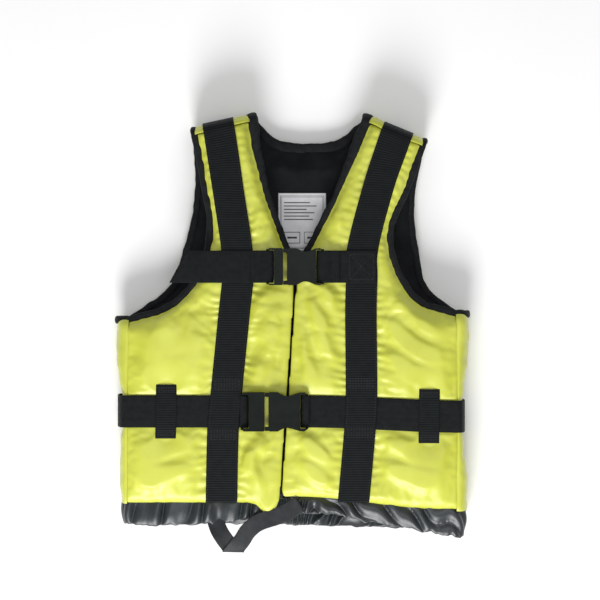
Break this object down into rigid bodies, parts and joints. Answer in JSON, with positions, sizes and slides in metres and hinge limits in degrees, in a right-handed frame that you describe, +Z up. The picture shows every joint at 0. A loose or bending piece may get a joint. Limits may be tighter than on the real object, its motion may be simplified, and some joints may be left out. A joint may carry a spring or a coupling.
{
  "type": "foam buoyancy vest",
  "caption": "Sleeveless yellow foam buoyancy vest with black webbing, chest and waist side-release buckles, centre zip and gathered hem, lying on its back.",
  "frame": {"origin": "under the middle of the whole vest, on the surface that it lies on", "axes": "+Y from hem to neck, +X toward the wearer's left side, +Z up out of the front of the vest"},
  "size_m": [0.54, 0.6706, 0.0929],
  "materials": {
    "yellow_coated_nylon": "coated woven nylon with a satin shine",
    "black_lining": "matt woven nylon",
    "closed_cell_foam": "matt closed-cell foam",
    "black_webbing": "ribbed polyester webbing and tape",
    "black_plastic": "moulded acetal, fine texture",
    "black_nylon": "thin gathered nylon with a grey sheen",
    "zip_metal": "black painted",
    "white_label": "printed satin"
  },
  "bodies": {
    "root": {"back_cover": "yellow_coated_nylon", "back_foam": "closed_cell_foam", "back_lining": "black_lining", "back_neck_binding": "black_webbing", "chest_buckle_female": "black_plastic", "chest_strap_left": "black_webbing", "hem_casing": "black_nylon", "hem_tape": "black_webbing", "left_armhole_binding": "black_webbing", "left_back_armhole_binding": "black_webbing", "left_belt_keeper": "black_webbing", "left_front_cover": "yellow_coated_nylon", "left_front_foam": "closed_cell_foam", "left_front_lining": "black_lining", "left_neck_binding": "black_webbing", "left_shoulder_band": "yellow_coated_nylon", "left_side_panel": "yellow_coated_nylon", "left_webbing": "black_webbing", "left_zip_tape": "black_lining", "left_zip_teeth": "black_plastic", "right_armhole_binding": "black_webbing", "right_back_armhole_binding": "black_webbing", "right_belt_keeper": "black_webbing", "right_front_cover": "yellow_coated_nylon", "right_front_foam": "closed_cell_foam", "right_front_lining": "black_lining", "right_neck_binding": "black_webbing", "right_shoulder_band": "yellow_coated_nylon", "right_side_panel": "yellow_coated_nylon", "right_webbing": "black_webbing", "right_zip_tape": "black_lining", "right_zip_teeth": "black_plastic", "size_label": "white_label", "waist_belt": "black_webbing", "waist_buckle_male": "black_plastic", "zip_bottom_stop": "black_plastic"},
    "zip_slider": {"zip_slider": "zip_metal"},
    "zip_pull": {"zip_pull": "zip_metal"},
    "chest_release": {"chest_buckle_male": "black_plastic", "chest_strap_right": "black_webbing"},
    "chest_upper_prong": {"chest_upper_prong": "black_plastic"},
    "chest_lower_prong": {"chest_lower_prong": "black_plastic"},
    "waist_release": {"waist_buckle_female": "black_plastic", "waist_belt_left_run": "black_webbing"},
    "waist_upper_prong": {"waist_upper_prong": "black_plastic"},
    "waist_lower_prong": {"waist_lower_prong": "black_plastic"}
  },
  "joints": [
    {"name": "zip_slide", "type": "slide", "parent": "root", "child": "zip_slider", "axis": [-0.0698, -0.9976, 0], "range_m": [0, 0.32]},
    {"name": "zip_pull_swing", "type": "hinge", "parent": "zip_slider", "child": "zip_pull", "pos_m": [0.00614, 0.10072, 0.0493], "axis": [-0.9976, 0.0698, 0], "range_deg": [0, 90]},
    {"name": "chest_buckle_release", "type": "slide", "parent": "root", "child": "chest_release", "axis": [-1, 0, 0], "range_m": [0, 0.042]},
    {"name": "chest_upper_prong_press", "type": "hinge", "parent": "chest_release", "child": "chest_upper_prong", "pos_m": [-0.0137, 0.12734, 0.0869], "axis": [0, 0, -1], "range_deg": [0, 5], "stiffness_Nm_per_rad": 0.4},
    {"name": "chest_lower_prong_press", "type": "hinge", "parent": "chest_release", "child": "chest_lower_prong", "pos_m": [-0.0137, 0.07854, 0.0869], "axis": [0, 0, 1], "range_deg": [0, 5], "stiffness_Nm_per_rad": 0.4},
    {"name": "waist_buckle_release", "type": "slide", "parent": "root", "child": "waist_release", "axis": [1, 0, 0], "range_m": [0, 0.042]},
    {"name": "waist_upper_prong_press", "type": "hinge", "parent": "root", "child": "waist_upper_prong", "pos_m": [-0.0417, -0.09116, 0.0846], "axis": [0, 0, -1], "range_deg": [0, 5], "stiffness_Nm_per_rad": 0.4},
    {"name": "waist_lower_prong_press", "type": "hinge", "parent": "root", "child": "waist_lower_prong", "pos_m": [-0.0417, -0.14296, 0.0846], "axis": [0, 0, 1], "range_deg": [0, 5], "stiffness_Nm_per_rad": 0.4}
  ]
}
